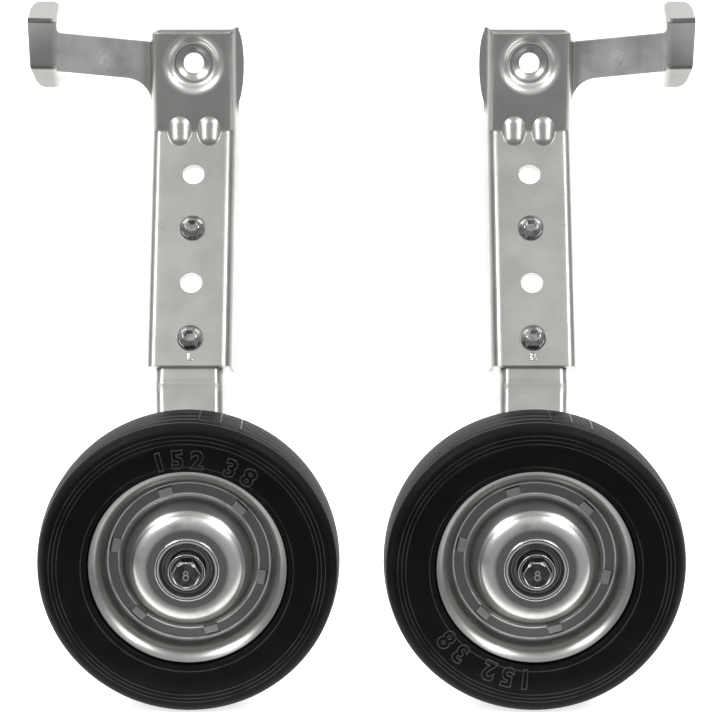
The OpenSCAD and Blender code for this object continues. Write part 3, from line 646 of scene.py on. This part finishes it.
def makeTreadLines(side):
    # short moulding lines across the tread
    centre, work = wheelCentre(side), bmesh.new()
    for degrees in treadLine["angles"]:
        rows = []
        for k in range(treadLine["steps"] + 1):
            y = treadLine["from"] + (treadLine["to"] - treadLine["from"]) * k / treadLine["steps"]
            top = unit["tyreRadius"] - treadLine["crown"] + math.sqrt(treadLine["crown"] ** 2 - y * y)
            row = []
            for turn, lift in treadLine["section"]:
                radius = top + lift
                angle = math.radians(degrees) + turn * treadLine["half"] / top
                place = Vector((radius * math.cos(angle), y, radius * math.sin(angle)))
                row.append(work.verts.new(centre + place))
            rows.append(row)
        for a, b in zip(rows, rows[1:]):
            for k in range(len(a) - 1):
                work.faces.new((a[k], a[k + 1], b[k + 1], b[k]))
    mesh = bpy.data.meshes.new(side + "_tread_lines")
    bmesh.ops.recalc_face_normals(work, faces=work.faces)
    work.to_mesh(mesh)
    work.free()
    addPiece(side + "_tread_lines", mesh, lineFinish, side + "_wheel")


for side in ("left", "right"):
    makeTyreNumbers(side)
    makeStamp(side)
    makeTreadLines(side)
print("numbers, stamps and tread lines")

stage = {  # reach behind and in front of the pair, half width, radius and top of the sweep
    "depth": 1.9, "near": 1.6, "half": 2.4, "bend": 0.5, "height": 1.4, "steps": 12,
    "white": (0.86, 0.86, 0.86), "grey": (0.13, 0.13, 0.13), "glow": 0.85,
    "turnsWhite": (-0.22, -0.118),      # from grey to white between these places in Y
}


def makeStage():
    # a sheet of white paper, swept up behind the pair, that turns grey in front of it
    mesh = bpy.data.meshes.new("stage")
    work = bmesh.new()
    flat, bend = stage["depth"] - stage["bend"], stage["bend"]
    outline = [(-stage["near"], 0.0), (flat, 0.0)]
    for k in range(1, stage["steps"] + 1):
        turn = math.radians(90) * k / stage["steps"]
        outline.append((flat + bend * math.sin(turn), bend * (1 - math.cos(turn))))
    outline.append((stage["depth"], stage["height"]))
    rows = []
    for x in (-stage["half"], stage["half"]):
        rows.append([work.verts.new((x + unit["pair"] / 2, y, z + unit["floor"])) for y, z in outline])
    for k in range(len(outline) - 1):
        face = work.faces.new((rows[0][k], rows[1][k], rows[1][k + 1], rows[0][k + 1]))
        face.smooth = True
    work.to_mesh(mesh)
    work.free()
    floor = bpy.data.objects.new("stage", mesh)
    bpy.context.scene.collection.objects.link(floor)
    f = Finish("stagePaper")
    p = f.place()
    tone = f.noise(p, 3, 2) * 0.02 + f.parts(p)[1].between(*stage["turnsWhite"])
    colour = f.mixed(tone, stage["grey"], stage["white"])
    mesh.materials.append(f.finishWith(Base_Color=colour, Roughness=0.9, Emission_Color=colour,
                                       Emission_Strength=stage["glow"]))


lamps = [  # soft boxes: place, target, width and height, power
    {"name": "leftBox", "at": (-0.75, -0.80, 0.70), "to": (0.087, -0.03, -0.12),
     "size": (0.55, 0.6), "power": 7},
    {"name": "rightBox", "at": (0.93, -0.80, 0.70), "to": (0.087, -0.03, -0.12),
     "size": (0.55, 0.6), "power": 7},
    {"name": "backLeft", "at": (-0.8, 0.5, 0.9), "to": (0.087, 0.6, -0.2), "size": (0.8, 0.8), "power": 3},
    {"name": "backRight", "at": (0.97, 0.5, 0.9), "to": (0.087, 0.6, -0.2), "size": (0.8, 0.8), "power": 3},
]


def makeLamps():
    for lamp in lamps:
        data = bpy.data.lights.new(lamp["name"], "AREA")
        data.shape = "RECTANGLE"
        data.size, data.size_y = lamp["size"]
        data.energy = lamp["power"]
        shown = bpy.data.objects.new(lamp["name"], data)
        shown.location = lamp["at"]
        toward = Vector(lamp["to"]) - Vector(lamp["at"])
        shown.rotation_euler = toward.to_track_quat("-Z", "Y").to_euler()
        bpy.context.scene.collection.objects.link(shown)


studio = {  # brightness of the surroundings, from straight down (0) to straight up (1)
    "stops": ((0.0, 0.10), (0.33, 0.16), (0.45, 0.34), (0.62, 0.42), (0.80, 0.66), (0.92, 0.74), (1.0, 0.60)),
}


def makeStudio():
    world = bpy.data.worlds.new("studio")
    bpy.context.scene.world = world
    f = Finish("studio", world)
    height = f.parts(f.place("Generated"))[2] * 0.5 + 0.5
    stops = [(place, (grey, grey, grey)) for place, grey in studio["stops"]]
    colour = f.make("ValToRGB", {"stops": stops}, {0: height})
    background = f.make("Background", {}, {"Color": colour, "Strength": 1.0})
    f.make("OutputWorld", {}, {"Surface": background})


view = {"at": (0.0862, -1.4, 0.158), "down": 12.73, "focal": 134.85, "sensor": 36, "clip": (0.05, 20)}


def makeCamera():
    lens = bpy.data.cameras.new("camera")
    lens.lens, lens.sensor_width = view["focal"], view["sensor"]
    lens.clip_start, lens.clip_end = view["clip"]
    eye = bpy.data.objects.new("camera", lens)
    eye.location = view["at"]
    eye.rotation_euler = (math.radians(90 - view["down"]), 0, 0)
    bpy.context.scene.collection.objects.link(eye)
    bpy.context.scene.camera = eye
    bpy.context.scene.view_settings.view_transform = "Standard"


makeStage()
makeLamps()
makeStudio()
makeCamera()
print("stage, lights and camera")
